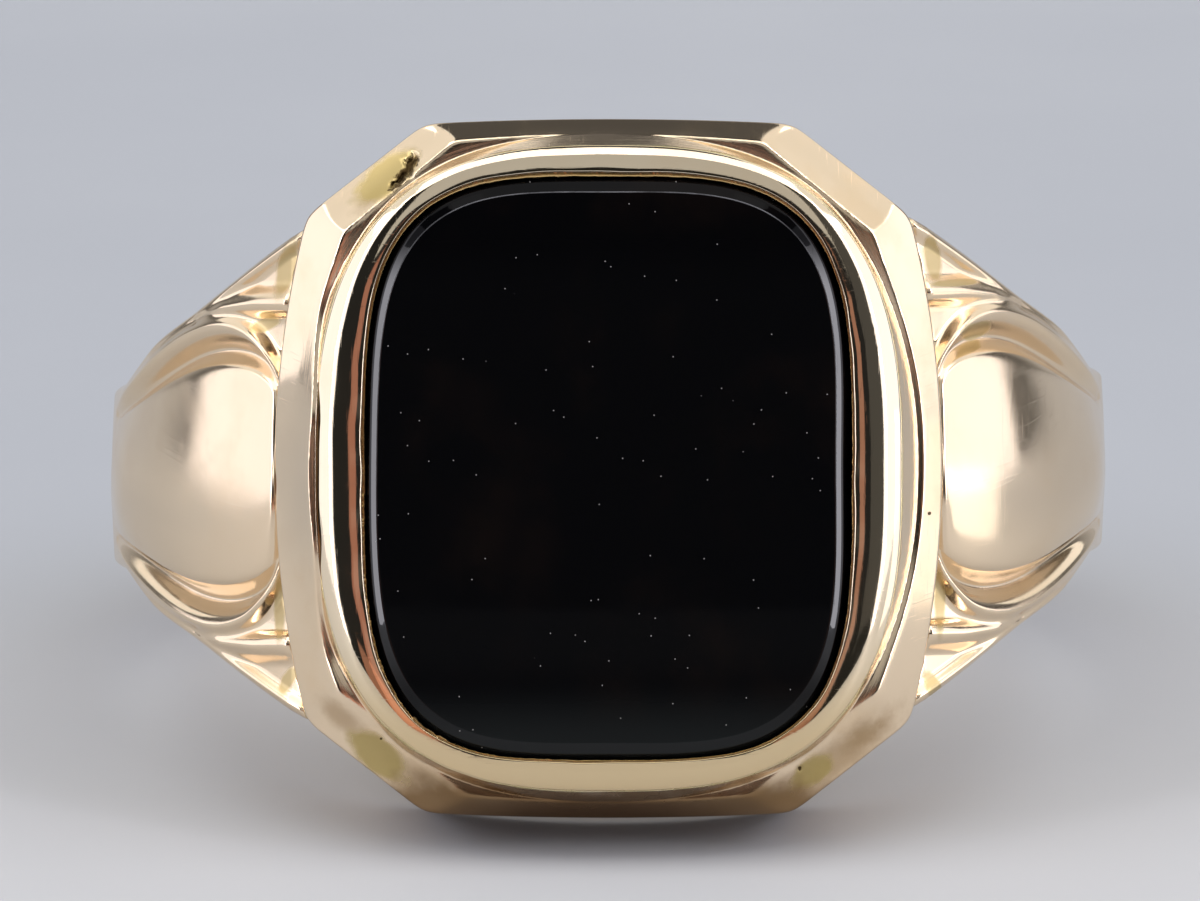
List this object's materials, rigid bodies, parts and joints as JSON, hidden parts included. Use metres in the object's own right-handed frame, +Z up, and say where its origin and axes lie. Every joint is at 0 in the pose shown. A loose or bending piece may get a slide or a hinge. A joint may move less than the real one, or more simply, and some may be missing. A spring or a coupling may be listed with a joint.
{
  "type": "signet ring",
  "caption": "Men's signet ring: a flat cushion onyx tablet in a burnished collar on an eight-sided head, scrolled shoulders and a plain hoop.",
  "frame": {"origin": "centre of the finger bore, on its axis", "axes": "+Z up with the ring lying on a table, -Y from the bore towards the stone, +X to the right seen from the stone's side; the bore's axis leans 16.3 degrees from +Z towards +Y"},
  "size_m": [0.022, 0.025, 0.0149],
  "materials": {
    "onyx_tablet": "polished",
    "bezel_collar": "polished",
    "bearing_ledge": "polished",
    "bezel_solder": "satin",
    "head_frame": "polished",
    "gallery_saddle": "polished",
    "shoulder_left": "polished",
    "shoulder_right": "polished",
    "shoulder_solder_left": "satin",
    "shoulder_solder_right": "satin",
    "shank_hoop": "polished",
    "shank_solder_left": "satin",
    "shank_solder_right": "satin"
  },
  "bodies": {
    "root": {"onyx_tablet": "onyx_tablet", "bezel_collar": "bezel_collar", "bearing_ledge": "bearing_ledge", "bezel_solder": "bezel_solder", "head_frame": "head_frame", "gallery_saddle": "gallery_saddle", "shoulder_left": "shoulder_left", "shoulder_right": "shoulder_right", "shoulder_solder_left": "shoulder_solder_left", "shoulder_solder_right": "shoulder_solder_right", "shank_hoop": "shank_hoop", "shank_solder_left": "shank_solder_left", "shank_solder_right": "shank_solder_right"}
  },
  "joints": []
}
